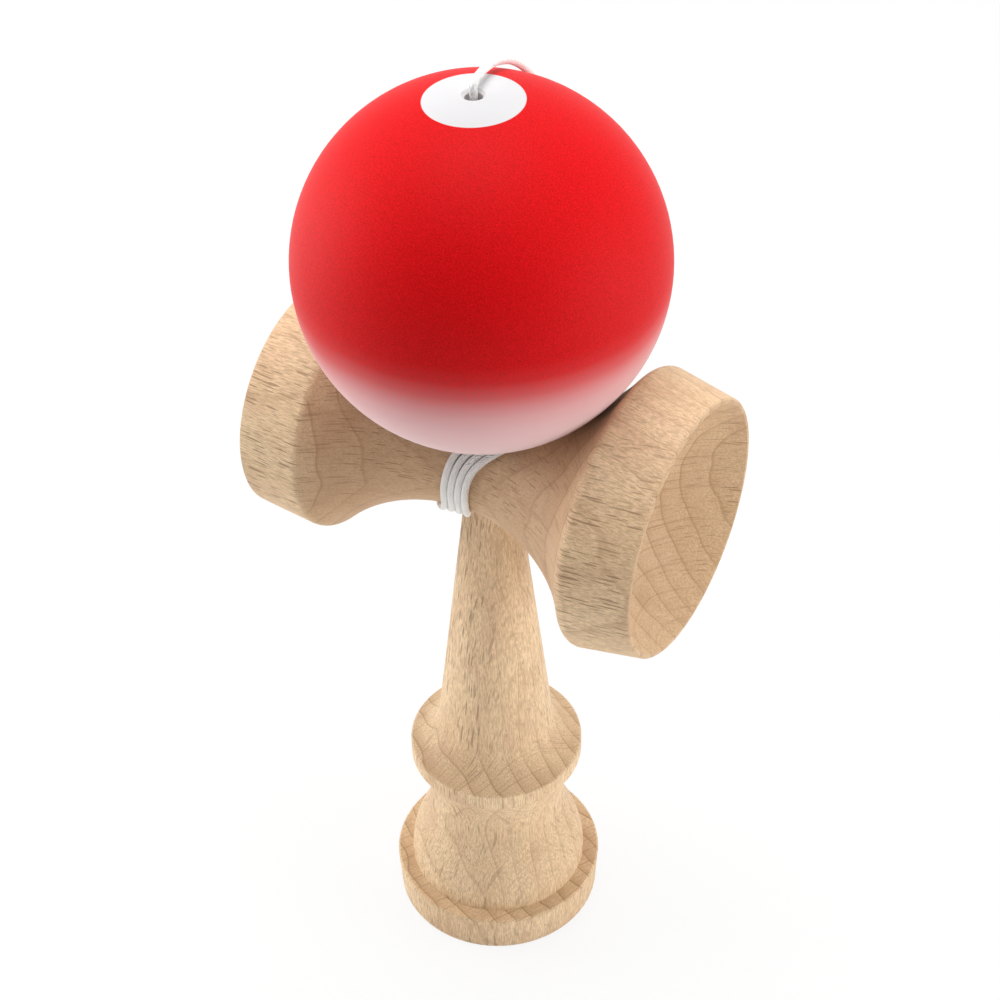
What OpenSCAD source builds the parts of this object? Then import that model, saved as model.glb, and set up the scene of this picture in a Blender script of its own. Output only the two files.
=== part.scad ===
// Kendama: a turned ken, a crosspiece with two cups and a drilled ball on the spike, tied by one string.
// Millimetres, +Z up. The origin is on the table under the middle of the foot, and the big cup is at +X.

/* [Foot] */
// Radius of the foot at its upper edge
foot_r = 19.7; // [18.5:0.1:22]
// How much narrower the foot is at the table
foot_taper = 0.4; // [0:0.1:1]
// Height of the foot's band
foot_h = 8.2; // [6:0.1:10]
// Width of the ledge around the bell
foot_ledge = 2.9; // [1.5:0.1:4]
// Depth of the cup under the foot
base_cup_depth = 9.5; // [6:0.1:12]
// Width of the flat rim that the foot rests on
base_rim_w = 1.4; // [1:0.1:3]

/* [Ken] */
// Radius of the curve that rounds the bell
bell_arc_r = 22; // [19:0.5:28]
// Smallest radius of the waist
waist_r = 12.7; // [11:0.1:14]
// Height of the narrowest place of the waist
waist_z = 25.1; // [23:0.1:27]
// Radius of the hollow curve of the waist
waist_arc_r = 22.7; // [20:0.1:28]
// Radius of the curve that leads from the bell into the waist
sweep_r = 16; // [12:0.5:18]
// Radius of the collar
collar_r = 16; // [14.5:0.1:18]
// Height of the collar's upper edge
collar_z = 40.1; // [38:0.1:44]
// Height of the collar's upright band
collar_band = 2.6; // [1.5:0.1:4]
// Height of the hollow between the collar and the shaft
cove_h = 7.4; // [6:0.1:9]
// Radius of the shaft at its foot
shaft_r = 10.4; // [9:0.1:11.5]
// Radius of the tenon at its lower end
tenon_r = 4.9; // [4.6:0.1:5.4]
// Radius of the spike where it leaves the crosspiece
spike_r = 4.3; // [3.8:0.1:4.5]
// Radius of the spike's rounded tip
tip_r = 1.6; // [1:0.1:2.4]
// Small bevel on the turned edges
edge_bevel = 0.3; // [0.1:0.05:0.5]

/* [Sarado] */
// Height of the crosspiece's axis above the table
sarado_z = 107.9; // [100:0.1:115]
// Half the crosspiece's length
sarado_half_l = 37.2; // [34:0.1:41]
// Smallest radius of the neck
neck_r = 9.5; // [9:0.1:10.2]
// How far the narrowest place lies from the ken's axis, towards the small cup
neck_off = 1; // [0:0.1:2]
// Distance from the ken's axis to the shoulders of the cups
shoulder_x = 25.5; // [24:0.1:27]
// Rounding of the shoulders
shoulder_round_r = 1.6; // [1:0.1:2.5]
// Radius of the big cup at its shoulder
big_shoulder_r = 24.4; // [23.4:0.1:26]
// Radius of the big cup at its rim
big_rim_r = 22.3; // [21:0.1:23]
// Depth of the big cup
big_cup_depth = 13; // [10:0.1:15]
// Radius of the small cup at its shoulder
small_shoulder_r = 21; // [20.6:0.1:23]
// Radius of the small cup at its rim
small_rim_r = 20.2; // [19:0.1:20.5]
// Depth of the small cup
small_cup_depth = 12; // [9:0.1:14]
// Width of the flat land on the cups' rims
rim_land = 0.6; // [0.4:0.1:1.5]

/* [Tama] */
// Radius of the ball
tama_r = 30; // [29.5:0.1:32]
// Radius of the hole for the spike
tama_hole_r = 11.2; // [10.8:0.1:12]
// Bevel of the hole's edge
mouth_bevel = 0.7; // [0.4:0.1:1]
// How far the hole keeps its full width above the ball's middle
tama_bore_up = 5; // [3:0.5:7]
// Wood left over the pocket for the bead
tama_crown = 7.5; // [6:0.1:8]
// Radius of the hole for the string
tama_cord_hole_r = 1.4; // [1.1:0.1:1.8]
// Bevel of the string hole's edge
cord_hole_bevel = 0.5; // [0.3:0.1:0.8]
// How far the ball has slipped towards the small cup
tama_slip = 1; // [0:0.1:1.5]
// How far the ball leans towards the small cup, in degrees
tama_lean = 1.5; // [0:0.1:2]

/* [String] */
// Diameter of the string
cord_d = 1; // [0.8:0.1:1]
// Diameter of the bead
bead_d = 7; // [6:0.1:7.2]
// Diameter of the knot under the bead
tama_knot_d = 3; // [2.4:0.1:3.2]
// Diameter of the knot in the ken
ken_knot_d = 3.2; // [2.6:0.1:3.4]
// Turns of the string around the crosspiece
wind_turns = 4; // [3:1:4]
// Step from one turn to the next
wind_pitch = 1.6; // [1.6:0.05:1.7]

/* [Hidden] */
$fn = 96;

// Gap of the friction fit between tenon and crosspiece
fit_gap = 0.05;
// Gap between the ball and the crosspiece that it sits on
seat_gap = 0.15;
// Gap under a string that lies on wood, and around a knot or bead in its pocket
lay_gap = 0.15;
// How far a cut runs past the face that it opens
overrun = 4;
// How far under the neck the tenon begins
tenon_lead = 1.4;
// Room between the spike's tip and the knot in the ball
tip_room = 2;
// Room around the string in the wood
cord_room = 0.6;
// Room around the bead in its pocket
bead_room = 0.6;
// Thickness of wood between the ken's axis and the pocket for its knot
knot_floor = 1.4;
// Depth and radius of the funnel where the string leaves the crosspiece
funnel_depth = 1.8;
funnel_r = 2.8;
// Radius of the bend where the string leaves the crosspiece
exit_bend = 2;
// How far the string's straight end stands out of the ball
lead_proud = 0.2;
// Middle of the windings on the neck's front, and their reach to the right on top and to the left below
wind_front_x = -0.75;
wind_reach = 8.3;
// How much further apart the turns lie where they slant
wind_spread_share = 0.5;
// Part of a turn that the bend out of the crosspiece takes up
bend_turn_share = 0.045;
// Rings of the winding's tube for one turn, and its sides
wind_rings = 24;
wind_sides = 6;
// Sides of the free stretch's tube, and the longest way from one of its rings to the next
run_sides = 8;
run_ring_step = 2.5;

foot_low_r = foot_r - foot_taper;
base_cup_r = foot_low_r - edge_bevel - base_rim_w;
base_cup_arc_r = arc_over(base_cup_r, base_cup_depth);
bell_r = foot_r - foot_ledge;
band_z = collar_z - collar_band;
bell_c = [bell_r - bell_arc_r, foot_h];
waist_c = [waist_r + waist_arc_r, waist_z];
cove_top_z = collar_z + cove_h;
cove_w = collar_r - edge_bevel - shaft_r;
cove_arc_r = arc_over(cove_h, cove_w);
tenon_z = sarado_z - neck_r - tenon_lead;
neck_top_z = sarado_z + neck_r;

// The sweep touches the bell's arc from outside and the waist's arc from inside
bell_to_waist = norm(waist_c - bell_c);
bell_to_sweep = bell_arc_r + sweep_r;
sweep_corner = acos(min(1, (
    pow(bell_to_waist, 2) + pow(bell_to_sweep, 2) - pow(waist_arc_r - sweep_r, 2)
) / (2 * bell_to_waist * bell_to_sweep)));
sweep_lean = atan2(waist_c[1] - bell_c[1], waist_c[0] - bell_c[0]) + sweep_corner;
sweep_c = bell_c + bell_to_sweep * [cos(sweep_lean), sin(sweep_lean)];
sweep_low = bell_c + bell_arc_r * unit(sweep_c - bell_c);
sweep_high = waist_c + waist_arc_r * unit(sweep_c - waist_c);

// Heights in the ball's own frame, from its middle
mouth_r = tama_hole_r + mouth_bevel;
mouth_z = -sqrt(pow(tama_r, 2) - pow(mouth_r, 2));
pocket_r = bead_d / 2 + bead_room;
pocket_top_z = tama_r - tama_crown;
bead_z = pocket_top_z - lay_gap - bead_d / 2;
tama_knot_z = bead_z - bead_d / 2 - lay_gap - tama_knot_d / 2;
pocket_low_z = tama_knot_z - tama_knot_d / 2;
lead_top_z = tama_r + lead_proud;
cord_mouth_r = tama_cord_hole_r + cord_hole_bevel;
cord_mouth_z = sqrt(pow(tama_r, 2) - pow(cord_mouth_r, 2));

// Radius of each flare's arc, which begins at the narrowest place of the neck
big_flare_r = arc_over(shoulder_x + neck_off, big_shoulder_r - neck_r);
small_flare_r = arc_over(shoulder_x - neck_off, small_shoulder_r - neck_r);

// The ball's middle: as low as the flares let it sit
seat_steps = 12;
tama_x = -tama_slip;
seat_right_x = tama_x + mouth_r * cos(tama_lean) - mouth_z * sin(tama_lean);
seat_left_x = tama_x - mouth_r * cos(tama_lean) - mouth_z * sin(tama_lean);
tama_z = sarado_z + seat_gap + max([
    for (i = [0 : seat_steps])
        for (end = [[seat_left_x, -shoulder_x], [seat_right_x, shoulder_x]])
            let (x = end[0] + (end[1] - end[0]) * i / seat_steps)
                neck_at(x) + sqrt(max(0, pow(tama_r, 2) - pow(x - tama_x, 2)))
]);
tip_z = tama_z + pocket_low_z - tip_room;

// How far left the turns lie at the back, so that the first one starts at the string's hole
wind_back_shift = wind_front_x + wind_pitch * wind_turns / 2;
// Where the winding hands over to the free stretch, and where that meets the ball's end
wind_end = wind_at(wind_turns) + cord_d * wind_way(wind_turns);
lead_end = in_ball([0, 0, lead_top_z]);

// Route of the free stretch: up behind the ball, over its crown and into the hole on top
run_route = concat(
    [wind_end, wind_end + cord_d * wind_way(wind_turns)],
    [
        [-7.6, 12, 112], [-7.4, 13.6, 115.5], [-7, 16.2, 119.5], [-6.6, 19.6, 123.5], [-6.2, 23.4, 127.5],
        [-5.9, 26.8, 132], [-5.7, 29, 137], [-5.5, 30.5, 142.5], [-5.4, 30.9, 148], [-5.3, 30.4, 153.5],
        [-5.2, 29, 158.5], [-5.1, 26.8, 163], [-5, 23.8, 167.2], [-4.8, 20, 171], [-4.5, 16, 174.1],
        [-4.05, 11.8, 176.3], [-3.45, 8, 177.8], [-2.85, 5, 178.7], [-2.35, 2.9, 179.2], [-2, 1.3, 179.3],
        [-1.85, 0.4, 179]
    ],
    [in_ball([0, 0, lead_top_z + cord_d]), lead_end]
);
run_last = len(run_route) - 1;
run_path = concat(
    [wind_end],
    [
        for (i = [1 : run_last - 2])
            let (steps = ceil(norm(run_route[i + 1] - run_route[i]) / run_ring_step))
                for (k = [0 : steps - 1])
                    on_curve(run_route, i, k / steps)
    ],
    [run_route[run_last - 1], lead_end]
);

function arc_over(half, rise) = (pow(half, 2) + pow(rise, 2)) / (2 * rise);

function unit(v) = v / norm(v);

// A point on the smooth curve through a route, on its stretch i
function on_curve(route, i, t) =
    let (
        a = route[i],
        b = route[i + 1],
        lead = (b - route[max(i - 1, 0)]) / 2,
        trail = (route[min(i + 2, len(route) - 1)] - a) / 2
    )
        (2 * pow(t, 3) - 3 * pow(t, 2) + 1) * a + (pow(t, 3) - 2 * pow(t, 2) + t) * lead
        + (3 * pow(t, 2) - 2 * pow(t, 3)) * b + (pow(t, 3) - pow(t, 2)) * trail;

function in_ball(p) = [
    tama_x + p[0] * cos(tama_lean) - p[2] * sin(tama_lean),
    p[1],
    tama_z + p[0] * sin(tama_lean) + p[2] * cos(tama_lean)
];

// Radius of the crosspiece between its cups
function neck_at(x) =
    let (along = x + neck_off, arc_r = along > 0 ? big_flare_r : small_flare_r)
        neck_r + arc_r - sqrt(pow(arc_r, 2) - pow(along, 2));

// The winding, from the string's hole up the back, over the neck's top right, the front and the bottom left
function wind_x(turn) =
    let (rise = sin(360 * turn), step = wind_turns / 2 - turn)
        wind_front_x + wind_reach * (rise + pow(rise, 3)) / 2 - wind_back_shift * pow(cos(180 * turn), 8)
        + wind_pitch * step * (1 + wind_spread_share * pow(sin(720 * turn), 2));

function wind_at(turn) =
    let (x = wind_x(turn), r = neck_at(x) + cord_d / 2 + lay_gap)
        [x, r * cos(360 * turn), sarado_z + r * sin(360 * turn)];

function wind_way(turn) =
    let (step = bend_turn_share / wind_rings)
        unit(wind_at(turn + step) - wind_at(turn - step));

// The bend from the hole in the crosspiece onto the neck
bend_in = [0, wind_at(0)[1] - exit_bend, sarado_z];
bend_corner = [0, wind_at(0)[1], sarado_z];
bend_steps = 6;
inner_end = bend_in - [0, cord_d, 0];
wind_path = concat(
    [inner_end],
    [
        for (i = [0 : bend_steps - 1])
            let (t = i / bend_steps)
                pow(1 - t, 2) * bend_in + 2 * t * (1 - t) * bend_corner + pow(t, 2) * wind_at(bend_turn_share)
    ],
    [
        for (i = [0 : wind_turns * wind_rings - 1])
            let (turn = bend_turn_share + (wind_turns - bend_turn_share) * i / (wind_turns * wind_rings))
                wind_at(turn)
    ],
    [wind_at(wind_turns), wind_end]
);

// Distance from a point to a stretch between two points
function off_stretch(p, a, b) =
    let (t = max(0, min(1, ((p - a) * (b - a)) / ((b - a) * (b - a)))))
        norm(p - a - t * (b - a));

// Least gap of a tube to itself, past the rings that follow each other
function least_gap(path, apart) = min([
    for (i = [0 : len(path) - 1])
        for (j = [i + apart : 1 : len(path) - 2])
            off_stretch(path[i], path[j], path[j + 1])
]) - cord_d;

echo(winding_least_gap = least_gap(wind_path, wind_rings / 3));

// A round tube along a path that never runs along X
module tube(path, sides) {
    last = len(path) - 1;
    ways = [for (i = [0 : last]) unit(path[min(i + 1, last)] - path[max(i - 1, 0)])];
    points = [
        for (i = [0 : last])
            let (side = unit(cross(ways[i], [1, 0, 0])), up = cross(side, ways[i]))
                for (k = [0 : sides - 1])
                    path[i] + cord_d / 2 * (cos(360 * k / sides) * side + sin(360 * k / sides) * up)
    ];
    walls = [
        for (i = [0 : last - 1])
            for (k = [0 : sides - 1])
                let (a = i * sides + k, b = i * sides + (k + 1) % sides)
                    each [[a, b + sides, b], [a, a + sides, b + sides]]
    ];
    ends = [
        for (k = [1 : sides - 2])
            each [[0, k, k + 1], [last * sides, last * sides + k + 1, last * sides + k]]
    ];
    polyhedron(points, concat(walls, ends), convexity = 10);
}

// Half of a 2-D shape, right of the axis that it turns about
module turned() {
    rotate_extrude()
        intersection() {
            translate([0, -2 * tip_z])
                square([2 * sarado_half_l, 4 * tip_z]);
            children();
        }
}

module place_in_ball() {
    translate([tama_x, 0, tama_z])
        rotate([0, -tama_lean, 0])
            children();
}

module foot_outline() {
    polygon([
        [0, 0], [foot_low_r - edge_bevel, 0], [foot_low_r, edge_bevel], [foot_r, foot_h - edge_bevel],
        [foot_r - edge_bevel, foot_h], [0, foot_h]
    ]);
}

module bell_outline() {
    intersection() {
        translate(bell_c)
            circle(bell_arc_r);
        translate([0, foot_h])
            square([bell_r, band_z - foot_h]);
    }
}

module waist_outline() {
    difference() {
        translate([0, foot_h])
            square([collar_r, band_z - foot_h]);
        translate(waist_c)
            circle(waist_arc_r);
        translate([bell_r - edge_bevel, foot_h])
            square([foot_r, edge_bevel]);
    }
}

module sweep_outline() {
    difference() {
        polygon([[0, sweep_low[1]], sweep_low, sweep_high, [0, sweep_high[1]]]);
        translate(sweep_c)
            circle(sweep_r);
    }
}

module collar_outline() {
    polygon([
        [0, band_z], [collar_r, band_z], [collar_r, collar_z - edge_bevel], [collar_r - edge_bevel, collar_z],
        [0, collar_z]
    ]);
    difference() {
        translate([0, collar_z])
            square([shaft_r + cove_w, cove_h]);
        translate([shaft_r + cove_arc_r, cove_top_z])
            circle(cove_arc_r);
    }
}

module shaft_outline() {
    polygon([
        [0, cove_top_z], [shaft_r, cove_top_z], [tenon_r, tenon_z], [spike_r, neck_top_z], [tip_r, tip_z - tip_r],
        [0, tip_z - tip_r]
    ]);
    translate([0, tip_z - tip_r])
        circle(tip_r);
}

module ken() {
    color("burlywood")
        difference() {
            turned() {
                difference() {
                    union() {
                        foot_outline();
                        bell_outline();
                        waist_outline();
                        sweep_outline();
                        collar_outline();
                        shaft_outline();
                    }
                    translate([0, base_cup_depth - base_cup_arc_r])
                        circle(base_cup_arc_r);
                }
            }
            translate([0, -knot_floor, sarado_z])
                rotate([-90, 0, 0])
                    cylinder(r = cord_d / 2 + cord_room, h = tenon_r + overrun);
            translate([0, -knot_floor, sarado_z])
                rotate([90, 0, 0])
                    cylinder(r = ken_knot_d / 2 + lay_gap, h = tenon_r + overrun);
        }
}

// One side of the crosspiece's outline, from the neck's narrowest place: flare, shoulder, barrel and cup
module cup_outline(shoulder_r, rim_r, depth, flare_r, off) {
    cup_r = rim_r - edge_bevel - rim_land;
    cup_arc_r = arc_over(cup_r, depth);
    shoulder = [shoulder_r, shoulder_x + off];
    rim_x = sarado_half_l + off;
    flare_c = [neck_r + flare_r, 0];
    way = unit([rim_r, rim_x] - shoulder);
    inward = [-way[1], way[0]];
    start = shoulder + shoulder_round_r * inward - flare_c;
    along = start * way;
    ahead = sqrt(pow(along, 2) + pow(flare_r + shoulder_round_r, 2) - start * start) - along;
    middle = flare_c + start + ahead * way;
    on_flare = flare_c + flare_r * unit(middle - flare_c);
    on_barrel = middle - shoulder_round_r * inward;
    difference() {
        union() {
            difference() {
                polygon([
                    [0, 0], [shoulder_r, 0], shoulder, [rim_r, rim_x - edge_bevel], [rim_r - edge_bevel, rim_x],
                    [0, rim_x]
                ]);
                translate(flare_c)
                    circle(flare_r);
                polygon([middle, on_flare, shoulder + shoulder_round_r * [1, -1], on_barrel]);
            }
            translate(middle)
                circle(shoulder_round_r);
        }
        translate([0, rim_x - depth + cup_arc_r])
            circle(cup_arc_r);
    }
}

module tenon_bore() {
    taper = (tenon_r - spike_r) / (neck_top_z - tenon_z);
    translate([0, 0, tenon_z - overrun])
        cylinder(
            r1 = tenon_r + fit_gap + taper * overrun, r2 = spike_r + fit_gap - taper * overrun,
            h = neck_top_z - tenon_z + 2 * overrun
        );
}

module string_exit() {
    translate([0, 0, sarado_z])
        rotate([-90, 0, 0]) {
            cylinder(r = cord_d / 2 + cord_room, h = neck_r + overrun);
            translate([0, 0, neck_r - funnel_depth])
                cylinder(r1 = cord_d / 2 + cord_room, r2 = funnel_r, h = funnel_depth);
            translate([0, 0, neck_r])
                cylinder(r = funnel_r, h = overrun);
        }
}

module sarado() {
    color("wheat")
        difference() {
            translate([0, 0, sarado_z])
                rotate([0, 90, 0])
                    turned()
                        translate([0, -neck_off]) {
                            cup_outline(big_shoulder_r, big_rim_r, big_cup_depth, big_flare_r, neck_off);
                            mirror([0, 1])
                                cup_outline(
                                    small_shoulder_r, small_rim_r, small_cup_depth, small_flare_r, -neck_off
                                );
                        }
            tenon_bore();
            string_exit();
        }
}

module tama() {
    color("crimson")
        place_in_ball()
            turned()
                difference() {
                    circle(tama_r);
                    polygon([
                        [0, -tama_r - overrun], [mouth_r, -tama_r - overrun], [mouth_r, mouth_z],
                        [tama_hole_r, mouth_z + mouth_bevel], [tama_hole_r, tama_bore_up],
                        [pocket_r, pocket_low_z], [pocket_r, pocket_top_z], [tama_cord_hole_r, pocket_top_z],
                        [tama_cord_hole_r, cord_mouth_z - cord_hole_bevel], [cord_mouth_r, cord_mouth_z],
                        [cord_mouth_r, tama_r + overrun], [0, tama_r + overrun]
                    ]);
                }
}

// A tight knot, flat where the string runs into it
module knot(size) {
    turned()
        intersection() {
            translate([0, size / 2])
                circle(size / 2);
            translate([0, lay_gap])
                square([size, size]);
        }
}

module string_ken_knot() {
    color("whitesmoke")
        translate([0, -knot_floor, sarado_z])
            rotate([90, 0, 0])
                knot(min(ken_knot_d, spike_r - knot_floor));
}

module string_inner() {
    color("whitesmoke")
        translate([0, -knot_floor - lay_gap, sarado_z])
            rotate([-90, 0, 0])
                cylinder(d = cord_d, h = inner_end[1] + knot_floor + lay_gap);
}

module string_winding() {
    color("white")
        tube(wind_path, wind_sides);
}

module string_run() {
    color("white")
        tube(run_path, run_sides);
}

module string_tama_lead() {
    color("whitesmoke")
        place_in_ball()
            translate([0, 0, bead_z - bead_d / 2 - lay_gap])
                cylinder(d = cord_d, h = lead_top_z - bead_z + bead_d / 2 + lay_gap);
}

module string_tama_knot() {
    color("whitesmoke")
        place_in_ball()
            translate([0, 0, bead_z - bead_d / 2])
                mirror([0, 0, 1])
                    knot(tama_knot_d);
}

module string_bead() {
    color("peru")
        place_in_ball()
            translate([0, 0, bead_z])
                turned()
                    difference() {
                        circle(bead_d / 2);
                        translate([0, -bead_d])
                            square([cord_d / 2 + lay_gap, 2 * bead_d]);
                    }
}

ken();
sarado();
tama();
string_ken_knot();
string_inner();
string_winding();
string_run();
string_tama_lead();
string_tama_knot();
string_bead();
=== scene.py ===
"""Looks of the kendama: turned beech, a sprayed ball and a braided string, seen as in the photograph."""
from math import ceil, cos, pi, radians, sin, sqrt

import bmesh
import bpy
from mathutils import Matrix, Vector


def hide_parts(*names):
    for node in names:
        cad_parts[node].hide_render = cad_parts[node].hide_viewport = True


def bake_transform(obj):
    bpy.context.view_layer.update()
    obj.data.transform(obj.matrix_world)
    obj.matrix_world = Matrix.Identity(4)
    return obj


MM = 0.001

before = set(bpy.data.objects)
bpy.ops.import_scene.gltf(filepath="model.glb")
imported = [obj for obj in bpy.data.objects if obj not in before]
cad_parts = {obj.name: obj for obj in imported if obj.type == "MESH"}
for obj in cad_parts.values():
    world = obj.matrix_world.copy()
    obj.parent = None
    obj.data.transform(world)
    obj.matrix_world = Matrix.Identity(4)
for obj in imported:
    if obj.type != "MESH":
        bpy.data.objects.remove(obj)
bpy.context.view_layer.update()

# Sizes of the solids that the string lies on, in millimetres
SARADO_Z = 107.9
NECK_R = 9.5
NECK_OFF = 1.0
SHOULDER_X = 25.5
BIG_SHOULDER_R = 24.4
SMALL_SHOULDER_R = 21.0
TAMA_MIDDLE = Vector((-1.0, 0.0, 147.45))
TAMA_LEAN = radians(1.5)
TAMA_AXIS = Vector((-sin(TAMA_LEAN), 0.0, cos(TAMA_LEAN)))
STRING_D = 1.25


def arc_over(half, rise):
    """Radius of the arc with this half chord and rise."""
    return (half**2 + rise**2) / (2 * rise)


def span(a, b, count):
    return [a + (b - a) * i / count for i in range(count + 1)]


def finished(name, shape):
    mesh = bpy.data.meshes.new(name)
    shape.to_mesh(mesh)
    shape.free()
    piece = bpy.data.objects.new(name, mesh)
    bpy.context.scene.collection.objects.link(piece)
    return piece


# The string's line, in millimetres


def flare_at(x):
    """Radius of the crosspiece between its cups."""
    along = x + NECK_OFF
    big = arc_over(SHOULDER_X + NECK_OFF, BIG_SHOULDER_R - NECK_R)
    small = arc_over(SHOULDER_X - NECK_OFF, SMALL_SHOULDER_R - NECK_R)
    arc = big if along > 0 else small
    return NECK_R + arc - sqrt(arc**2 - along**2)


def wound(turn, pitch=1.335, front=-1.12, up=9.25, down=5.6, even=0.11, bow=0.25, spread=2.66):
    """A point of the winding, from the string's hole at the back up and over the neck."""
    rise = sin(2 * pi * turn)
    swing = even * rise + bow * rise**3 + (1 - even - bow) * rise**5
    apart = 1 + spread * (1 if rise > 0 else 0.45) * rise**4 * cos(2 * pi * turn) ** 2
    x = front + swing * (up if rise > 0 else down) + pitch * (2 - turn) * apart
    x -= (front + pitch * 2) * cos(pi * turn) ** 8
    radius = flare_at(x) + STRING_D / 2 + 0.03
    return Vector((x, radius * cos(2 * pi * turn), SARADO_Z + radius * sin(2 * pi * turn)))


# Given way of the free stretch behind the ball
RUN = [
    (-7.6, 12, 112), (-7.4, 13.6, 115.5), (-7, 16.2, 119.5), (-6.6, 19.6, 123.5), (-6.2, 23.4, 127.5),
    (-5.9, 26.8, 132), (-5.7, 29, 137), (-5.5, 30.5, 142.5), (-5.4, 30.9, 148), (-5.3, 30.4, 153.5),
    (-5.2, 29, 158.5), (-5.1, 26.8, 163), (-5, 23.8, 167.2), (-4.8, 20, 171), (-4.5, 16, 174.1),
    (-4.05, 11.8, 176.3), (-3.45, 8, 177.8), (-2.85, 5, 178.7), (-2.35, 2.9, 179.2), (-2, 1.3, 179.3),
    (-1.85, 0.4, 179),
]


def smooth_through(points, step):
    """Points about a step apart on a smooth curve through the given ones."""
    line = []
    for i in range(len(points) - 1):
        a, b = points[i], points[i + 1]
        before = points[max(i - 1, 0)]
        after = points[min(i + 2, len(points) - 1)]
        lead, trail = (b - before) / 2, (after - a) / 2
        for t in span(0, 1, max(1, ceil((b - a).length / step)))[:-1]:
            near_a, near_b = 2 * t**3 - 3 * t**2 + 1, 3 * t**2 - 2 * t**3
            line.append(a * near_a + lead * (t**3 - 2 * t**2 + t) + b * near_b + trail * (t**3 - t**2))
    return line + [points[-1]]


def string_line():
    bend = 0.045
    turns = [wound(bend + (4 - bend) * i / 320) for i in range(321)]
    corner = Vector((0, wound(0).y, SARADO_Z))
    hole = corner - Vector((0, 2, 0))
    lead_in = [hole - Vector((0, 1, 0))]
    lead_in += [hole * (1 - t) ** 2 + corner * 2 * t * (1 - t) + turns[0] * t**2 for t in span(0, 1, 12)[:-1]]
    down = [TAMA_MIDDLE + TAMA_AXIS * h for h in (31.2, 30.2, 28, 24, 19, 15.3)]
    run = smooth_through([turns[-1]] + [Vector(p) for p in RUN] + down, 0.5)
    return lead_in + turns[:-1] + run


def tube(name, line, diameter, sides):
    """A round tube with its place round and along it, in millimetres, as texture coordinates."""
    last = len(line) - 1
    shape = bmesh.new()
    place = shape.loops.layers.uv.new("braid")
    rings, along, side = [], [0.0], Vector((1, 0, 0))
    for i, at in enumerate(line):
        way = (line[min(i + 1, last)] - line[max(i - 1, 0)]).normalized()
        side = (side - way * side.dot(way)).normalized()
        up = way.cross(side)
        ring = [at + diameter / 2 * (side * cos(a) + up * sin(a)) for a in span(0, 2 * pi, sides)[:-1]]
        rings.append([shape.verts.new(point * MM) for point in ring])
        if i:
            along.append(along[-1] + (at - line[i - 1]).length)
    for i in range(last):
        for k in range(sides):
            after = (k + 1) % sides
            face = shape.faces.new((rings[i][k], rings[i][after], rings[i + 1][after], rings[i + 1][k]))
            face.smooth = True
            for loop, u, v in zip(face.loops, (k, k + 1, k + 1, k), (i, i, i + 1, i + 1)):
                loop[place].uv = (u / sides, along[v])
    shape.faces.new(list(reversed(rings[0])))
    shape.faces.new(rings[-1])
    bmesh.ops.recalc_face_normals(shape, faces=shape.faces)
    return finished(name, shape), along[-1]


# Materials: colours are linear red, green and blue, and lengths are in millimetres


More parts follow.
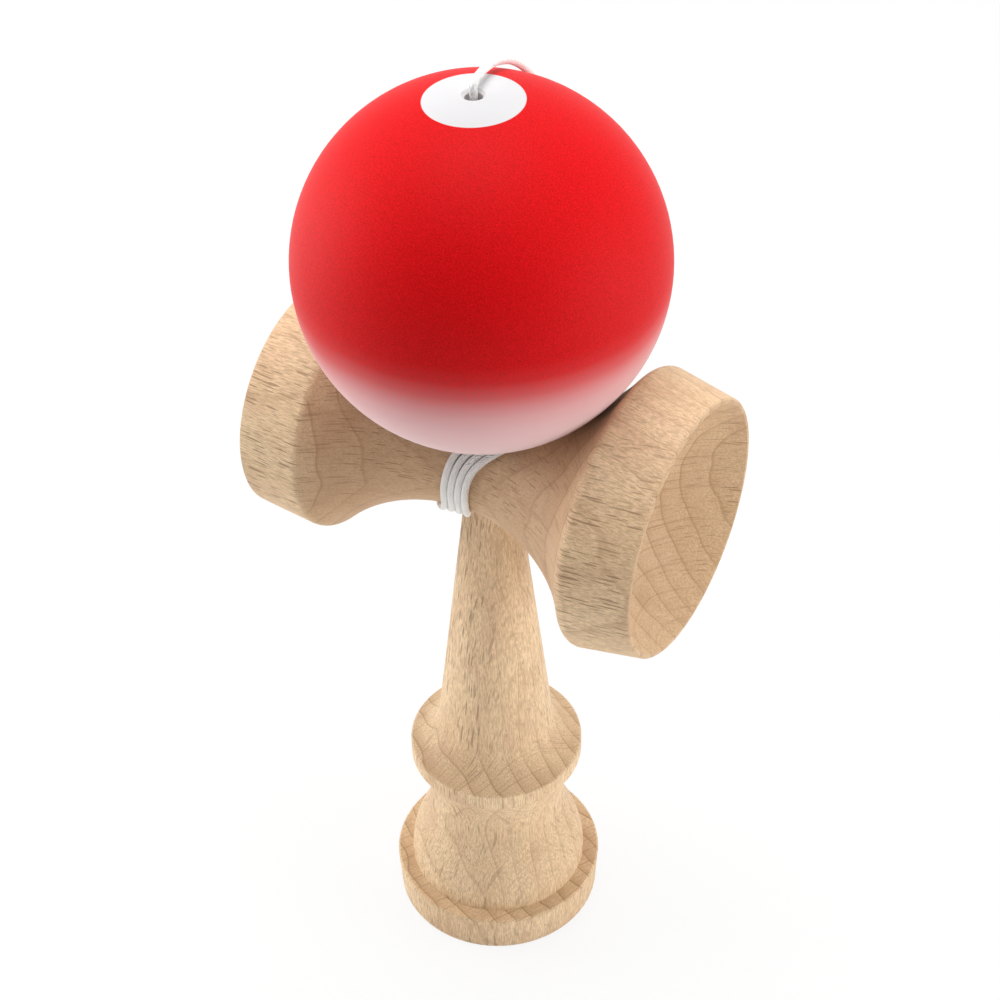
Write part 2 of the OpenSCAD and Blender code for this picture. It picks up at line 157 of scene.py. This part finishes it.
class Shader:
    """A material with short names for the nodes used here."""

    def __init__(self, name):
        self.material = bpy.data.materials.new(name)
        self.material.use_nodes = True
        self.tree = self.material.node_tree
        self.tree.nodes.clear()

    def node(self, kind, **settings):
        made = self.tree.nodes.new("ShaderNode" + kind)
        for key, value in settings.items():
            setattr(made, key, value)
        return made

    def put(self, socket, value):
        if isinstance(value, bpy.types.NodeSocket):
            self.tree.links.new(value, socket)
        else:
            socket.default_value = value

    def math(self, operation, *values, clamp=False):
        made = self.node("Math", operation=operation, use_clamp=clamp)
        for socket, value in zip(made.inputs, values):
            self.put(socket, value)
        return made.outputs[0]

    def vector(self, operation, *values):
        made = self.node("VectorMath", operation=operation)
        for socket, value in zip(made.inputs, values):
            self.put(socket, value)
        return made.outputs["Value" if operation in ("DOT_PRODUCT", "LENGTH") else "Vector"]

    def joined(self, x, y, z):
        made = self.node("CombineXYZ")
        for socket, value in zip(made.inputs, (x, y, z)):
            self.put(socket, value)
        return made.outputs[0]

    def step(self, value, low, high, to_low=0.0, to_high=1.0):
        made = self.node("MapRange", interpolation_type="SMOOTHSTEP")
        for socket, given in zip(made.inputs, (value, low, high, to_low, to_high)):
            self.put(socket, given)
        return made.outputs[0]

    def noise(self, vector, scale=1.0, detail=2.0, roughness=0.5):
        made = self.node("TexNoise")
        self.put(made.inputs["Vector"], vector)
        made.inputs["Scale"].default_value = scale
        made.inputs["Detail"].default_value = detail
        made.inputs["Roughness"].default_value = roughness
        return made.outputs[0]

    def cells(self, vector):
        """Distance to the nearest scattered point, and two random shares of that point."""
        made = self.node("TexVoronoi")
        self.put(made.inputs["Vector"], vector)
        made.inputs["Scale"].default_value = 1.0
        split = self.node("SeparateColor")
        self.put(split.inputs[0], made.outputs["Color"])
        return made.outputs["Distance"], split.outputs[0], split.outputs[1]

    def mix(self, share, a, b):
        made = self.node("Mix", data_type="RGBA")
        self.put(made.inputs[0], share)
        self.put(made.inputs[6], a)
        self.put(made.inputs[7], b)
        return made.outputs[2]

    def ramp(self, value, stops):
        made = self.node("ValToRGB")
        marks = made.color_ramp.elements
        while len(marks) < len(stops):
            marks.new(0.5)
        for mark, (position, colour) in zip(marks, stops):
            mark.position = position
            mark.color = colour
        self.put(made.inputs[0], value)
        return made.outputs[0]

    def surface(self, colour, roughness, height=None, depth=0.0, specular=0.5, extra=()):
        shader = self.node("BsdfPrincipled")
        self.put(shader.inputs["Base Color"], colour)
        self.put(shader.inputs["Roughness"], roughness)
        shader.inputs["Specular IOR Level"].default_value = specular
        for key, value in extra:
            self.put(shader.inputs[key], value)
        if height is not None:
            bump = self.node("Bump")
            bump.inputs["Strength"].default_value = 1.0
            bump.inputs["Distance"].default_value = depth * MM
            self.put(bump.inputs["Height"], height)
            self.put(shader.inputs["Normal"], bump.outputs[0])
        out = self.node("OutputMaterial")
        self.put(out.inputs[0], shader.outputs[0])
        return self.material


PALE_BEECH, TAN_BEECH = (0.93, 0.71, 0.455, 1), (0.86, 0.63, 0.39, 1)
# The last colour on the next line is painted shade for the crosspiece's middle under the ball.
BLUSH_WOOD, END_WOOD, HOLLOW_PAINTED_SHADE = (0.66, 0.41, 0.27, 1), (0.4, 0.2, 0.1, 1), (0.42, 0.2, 0.1, 1)
LATE_WOOD, LINE_WOOD, FLECK_WOOD = (0.45, 0.25, 0.125, 1), (0.36, 0.19, 0.09, 1), (0.4, 0.22, 0.105, 1)
DASH_WOOD, PORE_WOOD, FIBRE_WOOD = (0.17, 0.075, 0.03, 1), (0.34, 0.19, 0.1, 1), (0.42, 0.25, 0.13, 1)
DEEP_RED, BRIGHT_RED, HOLE_RED = (0.48, 0.0005, 0.001, 1), (0.86, 0.004, 0.008, 1), (0.55, 0.004, 0.008, 1)
FADED_WHITE, DISC_WHITE, HOLE_WHITE = (0.82, 0.65, 0.65, 1), (0.67, 0.66, 0.67, 1), (0.7, 0.66, 0.66, 1)
# The first colour on the next line is painted shade for the string's valleys between strands.
STRING_VALLEY_SHADE, STRING_CROWN = (0.93, 0.92, 0.89, 1), (0.99, 0.98, 0.96, 1)
TO_MM = (1000, 1000, 1000)
DISC_HEIGHT = 28.94
SKIN_R = 29.85
BRAID_STRANDS = 4
BRAID_STEP = 1.5


def grey(value):
    return (value, value, value, 1.0)


def beech(name, grain, radial, pith, ring_step, ray_step, shift, end_tone, painted_shade_reach=0.0):
    """Bare beech cut from a plank: rays, growth rings and pores as they lie in the wood, with painted shade
    towards the middle when a reach for it is given.
    """
    s = Shader(name)
    grain, radial = Vector(grain).normalized(), Vector(radial).normalized()
    across = grain.cross(radial)
    place = s.node("TexCoord").outputs["Object"]
    place = s.vector("ADD", s.vector("MULTIPLY", place, TO_MM), shift)
    g, r, t = (s.vector("DOT_PRODUCT", place, way) for way in (grain, radial, across))
    normal = s.node("VectorTransform", vector_type="NORMAL", convert_from="WORLD", convert_to="OBJECT")
    s.put(normal.inputs[0], s.node("NewGeometry").outputs["Normal"])
    on_end, on_flat = (
        s.math("POWER", s.math("ABSOLUTE", s.vector("DOT_PRODUCT", normal.outputs[0], way)), 2.0)
        for way in (grain, radial)
    )

    def spot(along, deep, wide):
        ways = ((g, along), (r, deep), (t_swayed, wide))
        return s.joined(*(s.math("MULTIPLY", way, scale) for way, scale in ways))

    t_swayed = t
    sway = s.math("SUBTRACT", s.noise(spot(0.02, 0.06, 0.06), 1, 2), 0.5)
    t_swayed = s.math("MULTIPLY_ADD", sway, 2.4, t)

    reach = s.vector("LENGTH", s.joined(s.math("ADD", r, pith), t, 0.0))
    reach = s.math("MULTIPLY_ADD", sway, 7.0, reach)
    ring = s.math("FRACT", s.math("DIVIDE", reach, ring_step))
    late = s.step(ring, 0.3, 0.97)
    line = s.math("MULTIPLY", s.step(ring, 0.88, 0.965), s.step(ring, 1.0, 0.975))

    def spindles(cell):
        near, lot, size = s.cells(cell)
        edge, core = (s.math("MULTIPLY_ADD", size, 0.22, least) for least in (0.17, 0.05))
        return s.math("MULTIPLY", s.step(near, edge, core), s.step(lot, 0.1, 0.6))

    short_dashes = s.vector("ADD", spot(0.24, 0.04, 2.6), (7.3, 2.1, 5.7))
    dash = s.math("MAXIMUM", spindles(spot(0.13, 0.03, 2.0)), spindles(short_dashes))
    fine, fine_lot, _ = s.cells(spot(0.45, 0.12, 3.6))
    fleck = s.math("MULTIPLY", s.step(fine, 0.36, 0.12), s.step(fine_lot, 0.2, 0.8))
    fibre = s.noise(spot(0.35, 4.5, 4.5), 1, 3, 0.65)
    pore = s.step(s.noise(spot(0.9, 7.0, 7.0), 1, 2, 0.6), 0.42, 0.3)
    ray = s.math("ABSOLUTE", s.math("SUBTRACT", s.math("FRACT", s.math("DIVIDE", t_swayed, ray_step)), 0.5))
    ray = s.math("MULTIPLY", s.step(ray, 0.06, 0.02), s.step(s.noise(spot(0.05, 0.04, 0.5), 1, 1), 0.34, 0.5))
    cloud = s.noise(spot(0.03, 0.1, 0.1), 1, 3, 0.55)
    blush = s.noise(spot(0.12, 0.22, 0.22), 1, 2, 0.5)

    colour = s.mix(s.step(cloud, 0.32, 0.68), PALE_BEECH, TAN_BEECH)
    colour = s.mix(s.step(blush, 0.5, 0.72, 0.0, 0.4), colour, BLUSH_WOOD)
    colour = s.mix(s.math("MULTIPLY", s.math("SQRT", on_end), end_tone), colour, END_WOOD)
    # Painted shade: towards its middle, between the cups and under the ball, the crosspiece turns darker and
    # redder, standing in for the ball's shadow.
    if painted_shade_reach:
        from_middle = s.math("ABSOLUTE", s.math("SUBTRACT", g, grain.dot(Vector(shift))))
        colour = s.mix(s.step(from_middle, painted_shade_reach, painted_shade_reach - 6.0, 0.0, 0.4), colour, HOLLOW_PAINTED_SHADE)
    late_share = s.math("MULTIPLY_ADD", on_end, 0.26, 0.08)
    colour = s.mix(s.math("MULTIPLY", late, late_share), colour, LATE_WOOD)
    line_share = s.math("MULTIPLY_ADD", on_end, 0.4, 0.2)
    colour = s.mix(s.math("MULTIPLY", line, line_share), colour, LINE_WOOD)
    colour = s.mix(s.math("MULTIPLY", ray, s.math("MULTIPLY", on_end, 0.5)), colour, LINE_WOOD)
    fleck_share = s.math("MULTIPLY_ADD", on_flat, 0.45, 0.25)
    colour = s.mix(s.math("MULTIPLY", fleck, fleck_share), colour, FLECK_WOOD)
    dash_share = s.math("MULTIPLY_ADD", s.math("POWER", on_flat, 0.7), 0.66, 0.05)
    colour = s.mix(s.math("MULTIPLY", dash, dash_share), colour, DASH_WOOD)
    colour = s.mix(s.math("MULTIPLY", pore, 0.6), colour, PORE_WOOD)
    colour = s.mix(s.step(fibre, 0.35, 0.65, 0.5, 0.0), colour, FIBRE_WOOD)
    dent = s.math("MULTIPLY_ADD", pore, -0.4, s.math("MULTIPLY", fibre, 0.4))
    dent = s.math("MULTIPLY_ADD", dash, -0.6, dent)
    return s.surface(colour, s.math("MULTIPLY_ADD", fibre, 0.16, 0.5), dent, 0.03, 0.3)


def ball_paint():
    """Red lacquer sprayed from above, fading to white below, with a white disc round the string."""
    s = Shader("ball_paint")
    place = s.node("TexCoord").outputs["Object"]
    place = s.vector("SUBTRACT", s.vector("MULTIPLY", place, TO_MM), tuple(TAMA_MIDDLE))
    height = s.vector("DOT_PRODUCT", place, tuple(TAMA_AXIS))
    spray = s.math("SUBTRACT", s.noise(place, 5.0, 2, 0.7), 0.5)
    drift = s.math("SUBTRACT", s.noise(place, 0.05, 1), 0.5)
    level = s.math("MULTIPLY_ADD", spray, 3.2, s.math("MULTIPLY_ADD", drift, 2.5, height))
    share = s.node("MapRange")
    for socket, given in zip(share.inputs, (level, -30.0, 10.0, 0.0, 1.0)):
        s.put(socket, given)
    fade = s.ramp(share.outputs[0], [
        (0.0, grey(0.95)), (0.25, grey(0.9)), (0.375, grey(0.8)), (0.45, grey(0.72)), (0.525, grey(0.58)),
        (0.5875, grey(0.4)), (0.65, grey(0.17)), (0.725, grey(0.03)), (0.8, grey(0.0)),
    ])
    red = s.mix(s.step(spray, -0.3, 0.3), DEEP_RED, BRIGHT_RED)
    colour = s.mix(fade, red, FADED_WHITE)
    colour = s.mix(s.step(height, DISC_HEIGHT, DISC_HEIGHT + 0.04), colour, DISC_WHITE)
    holes = s.mix(s.step(height, 0.0, 10.0), HOLE_RED, HOLE_WHITE)
    colour = s.mix(s.step(s.vector("LENGTH", place), SKIN_R, SKIN_R - 0.15), colour, holes)
    return s.surface(colour, 0.6, spray, 0.01, 0.1, (("Sheen Weight", 0.08), ("Sheen Roughness", 0.4)))


def braid():
    """Strands that cross over each other along the string."""
    s = Shader("string")
    place = s.node("UVMap", uv_map="braid").outputs[0]
    split = s.node("SeparateXYZ")
    s.put(split.inputs[0], place)
    u = s.math("MULTIPLY", split.outputs[0], 2 * pi * BRAID_STRANDS)
    v = s.math("MULTIPLY", split.outputs[1], 2 * pi / BRAID_STEP)
    over = s.math("MULTIPLY", s.math("SINE", s.math("ADD", u, v)), s.math("SINE", s.math("SUBTRACT", u, v)))
    height = s.math("ABSOLUTE", over)
    # Painted shade: the braid's valleys are a little darker than its crowns.
    shade = s.step(height, 0.0, 0.45)
    colour = s.mix(shade, STRING_VALLEY_SHADE, STRING_CROWN)
    return s.surface(colour, 0.8, height, 0.1, 0.2)


def knot_cloth():
    """The string's cloth where it is knotted or lies inside the wood."""
    s = Shader("string_knot")
    place = s.vector("MULTIPLY", s.node("TexCoord").outputs["Object"], TO_MM)
    weave = s.noise(place, 2.2, 2, 0.6)
    # Painted shade: the cloth is a little darker where its bumps dip.
    colour = s.mix(s.step(weave, 0.35, 0.6), STRING_VALLEY_SHADE, STRING_CROWN)
    return s.surface(colour, 0.8, weave, 0.15, 0.2)


# Pieces

ken_wood = beech(
    "ken_wood", grain=(0, 0, 1), radial=(-0.49, -0.87, 0), pith=75.0, ring_step=3.3, ray_step=2.4,
    shift=(3.0, 11.0, 5.0), end_tone=0.1,
)
# The crosspiece's wood carries painted shade between its cups, where the ball's shadow falls.
sarado_wood = beech(
    "sarado_wood", grain=(1, 0, 0), radial=(0, -0.97, 0.23), pith=90.0, ring_step=4.0, ray_step=3.1,
    shift=(17.0, 0.0, -SARADO_Z), end_tone=0.4, painted_shade_reach=SHOULDER_X,
)
bead_wood = beech(
    "bead_wood", grain=(0, 0, 1), radial=(1, 0, 0), pith=40.0, ring_step=2.5, ray_step=2.4,
    shift=(0.0, 0.0, 0.0), end_tone=0.1,
)
string_cloth, string_lump = braid(), knot_cloth()
for name, material in (
    ("ken", ken_wood),
    ("sarado", sarado_wood),
    ("tama", ball_paint()),
    ("string_ken_knot", string_lump),
    ("string_inner", string_lump),
    ("string_tama_knot", string_lump),
    ("string_bead", bead_wood),
):
    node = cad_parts[name]
    node.data.materials.clear()
    node.data.materials.append(material)

line = string_line()
string, string_length = tube("string", line, STRING_D, 14)
string.data.materials.append(string_cloth)
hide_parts("string_winding", "string_run", "string_tama_lead")
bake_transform(string)

# Camera, floor and light

SENSOR_W = 36
FOCAL_LENGTHS = 2.19967
CAMERA_PLACE = (0.1432469, -0.2424059, 0.3468255)
CAMERA_YAW, CAMERA_TILT, CAMERA_ROLL = 30.2945, 41.4213, -0.9304

view = bpy.data.cameras.new("view")
view.sensor_width = SENSOR_W
view.lens = SENSOR_W * FOCAL_LENGTHS
camera = bpy.data.objects.new("view", view)
bpy.context.scene.collection.objects.link(camera)
camera.matrix_world = (
    Matrix.Translation(CAMERA_PLACE)
    @ Matrix.Rotation(radians(CAMERA_YAW), 4, "Z")
    @ Matrix.Rotation(radians(90 - CAMERA_TILT), 4, "X")
    @ Matrix.Rotation(radians(CAMERA_ROLL), 4, "Z")
)
bpy.context.scene.camera = camera


def is_seen(shader):
    """One for the rays of the camera and of reflections, and zero for light."""
    path = shader.node("LightPath")
    seen = shader.math("MAXIMUM", path.outputs["Is Camera Ray"], path.outputs["Is Glossy Ray"])
    return shader.math("MAXIMUM", seen, path.outputs["Is Transmission Ray"])


FLOOR_SIZE, FLOOR_DROP = 6, 0.0002
FLOOR_GREY, FLOOR_SHINE, WHITE_SHARE = 0.8, 0.1, 0.85


def seen_white(shader, lit):
    """Mostly white where it is seen, with a little of the lit surface and its shadow."""
    glow = shader.node("Emission")
    glow.inputs["Color"].default_value = (1, 1, 1, 1)
    glow.inputs["Strength"].default_value = 1.0
    both = shader.node("MixShader")
    shader.put(both.inputs[0], shader.math("MULTIPLY", is_seen(shader), WHITE_SHARE))
    shader.put(both.inputs[1], lit)
    shader.put(both.inputs[2], glow.outputs[0])
    return both.outputs[0]


bpy.ops.mesh.primitive_plane_add(size=FLOOR_SIZE, location=(0, 0, -FLOOR_DROP))
floor = bpy.context.object
floor.name = "floor"
ground = Shader("floor")
matt = ground.node("BsdfDiffuse")
matt.inputs["Color"].default_value = grey(FLOOR_GREY)
shine = ground.node("Emission")
shine.inputs["Strength"].default_value = FLOOR_SHINE
table = ground.node("AddShader")
ground.put(table.inputs[0], matt.outputs[0])
ground.put(table.inputs[1], shine.outputs[0])
ground.put(ground.node("OutputMaterial").inputs[0], seen_white(ground, table.outputs[0]))
floor.data.materials.append(ground.material)

# A white tent that is dark on the camera's side and bright behind and above
world = bpy.data.worlds.new("tent")
bpy.context.scene.world = world
world.use_nodes = True
sky = Shader.__new__(Shader)
sky.tree = world.node_tree
sky.tree.nodes.clear()
way = sky.vector("NORMALIZE", sky.node("TexCoord").outputs["Generated"])
upward = sky.math("MAXIMUM", sky.vector("DOT_PRODUCT", way, (0, 0, 1)), 0.0)
backward = sky.vector("DOT_PRODUCT", way, (-0.51, 0.86, 0))
strength = sky.math("MAXIMUM", sky.math("MULTIPLY_ADD", backward, 0.48, 0.34), 0.03)
strength = sky.math("MULTIPLY_ADD", sky.math("POWER", upward, 5.0), 0.6, strength)
dome = sky.node("Background")
dome.inputs["Color"].default_value = (1, 1, 1, 1)
sky.put(dome.inputs["Strength"], sky.math("MAXIMUM", strength, is_seen(sky)))
sky.put(sky.node("OutputWorld").inputs[0], dome.outputs[0])


def lamp(name, place, aim, size, power, spread=180.0):
    """A square lamp that the camera doesn't see, with its spread in degrees."""
    light = bpy.data.lights.new(name, "AREA")
    light.spread = radians(spread)
    light.shape = "SQUARE"
    light.size = size
    light.energy = power
    holder = bpy.data.objects.new(name, light)
    bpy.context.scene.collection.objects.link(holder)
    holder.location = place
    holder.visible_camera = False
    holder.rotation_euler = (Vector(aim) - Vector(place)).to_track_quat("-Z", "Y").to_euler()


lamp("top", (-0.05, 0.05, 0.8), (0, 0, 0.12), 0.5, 3.7)
lamp("left", (-0.6, -0.15, 0.2), (0, 0, 0.08), 0.4, 2.3)
lamp("right", (0.6, 0.15, 0.15), (0, 0, 0.08), 0.4, 2.25)
lamp("front", (0.13, -0.26, 0.03), (0, 0, 0.02), 0.15, 0.018, 40.0)

bpy.context.scene.view_settings.view_transform = "Standard"
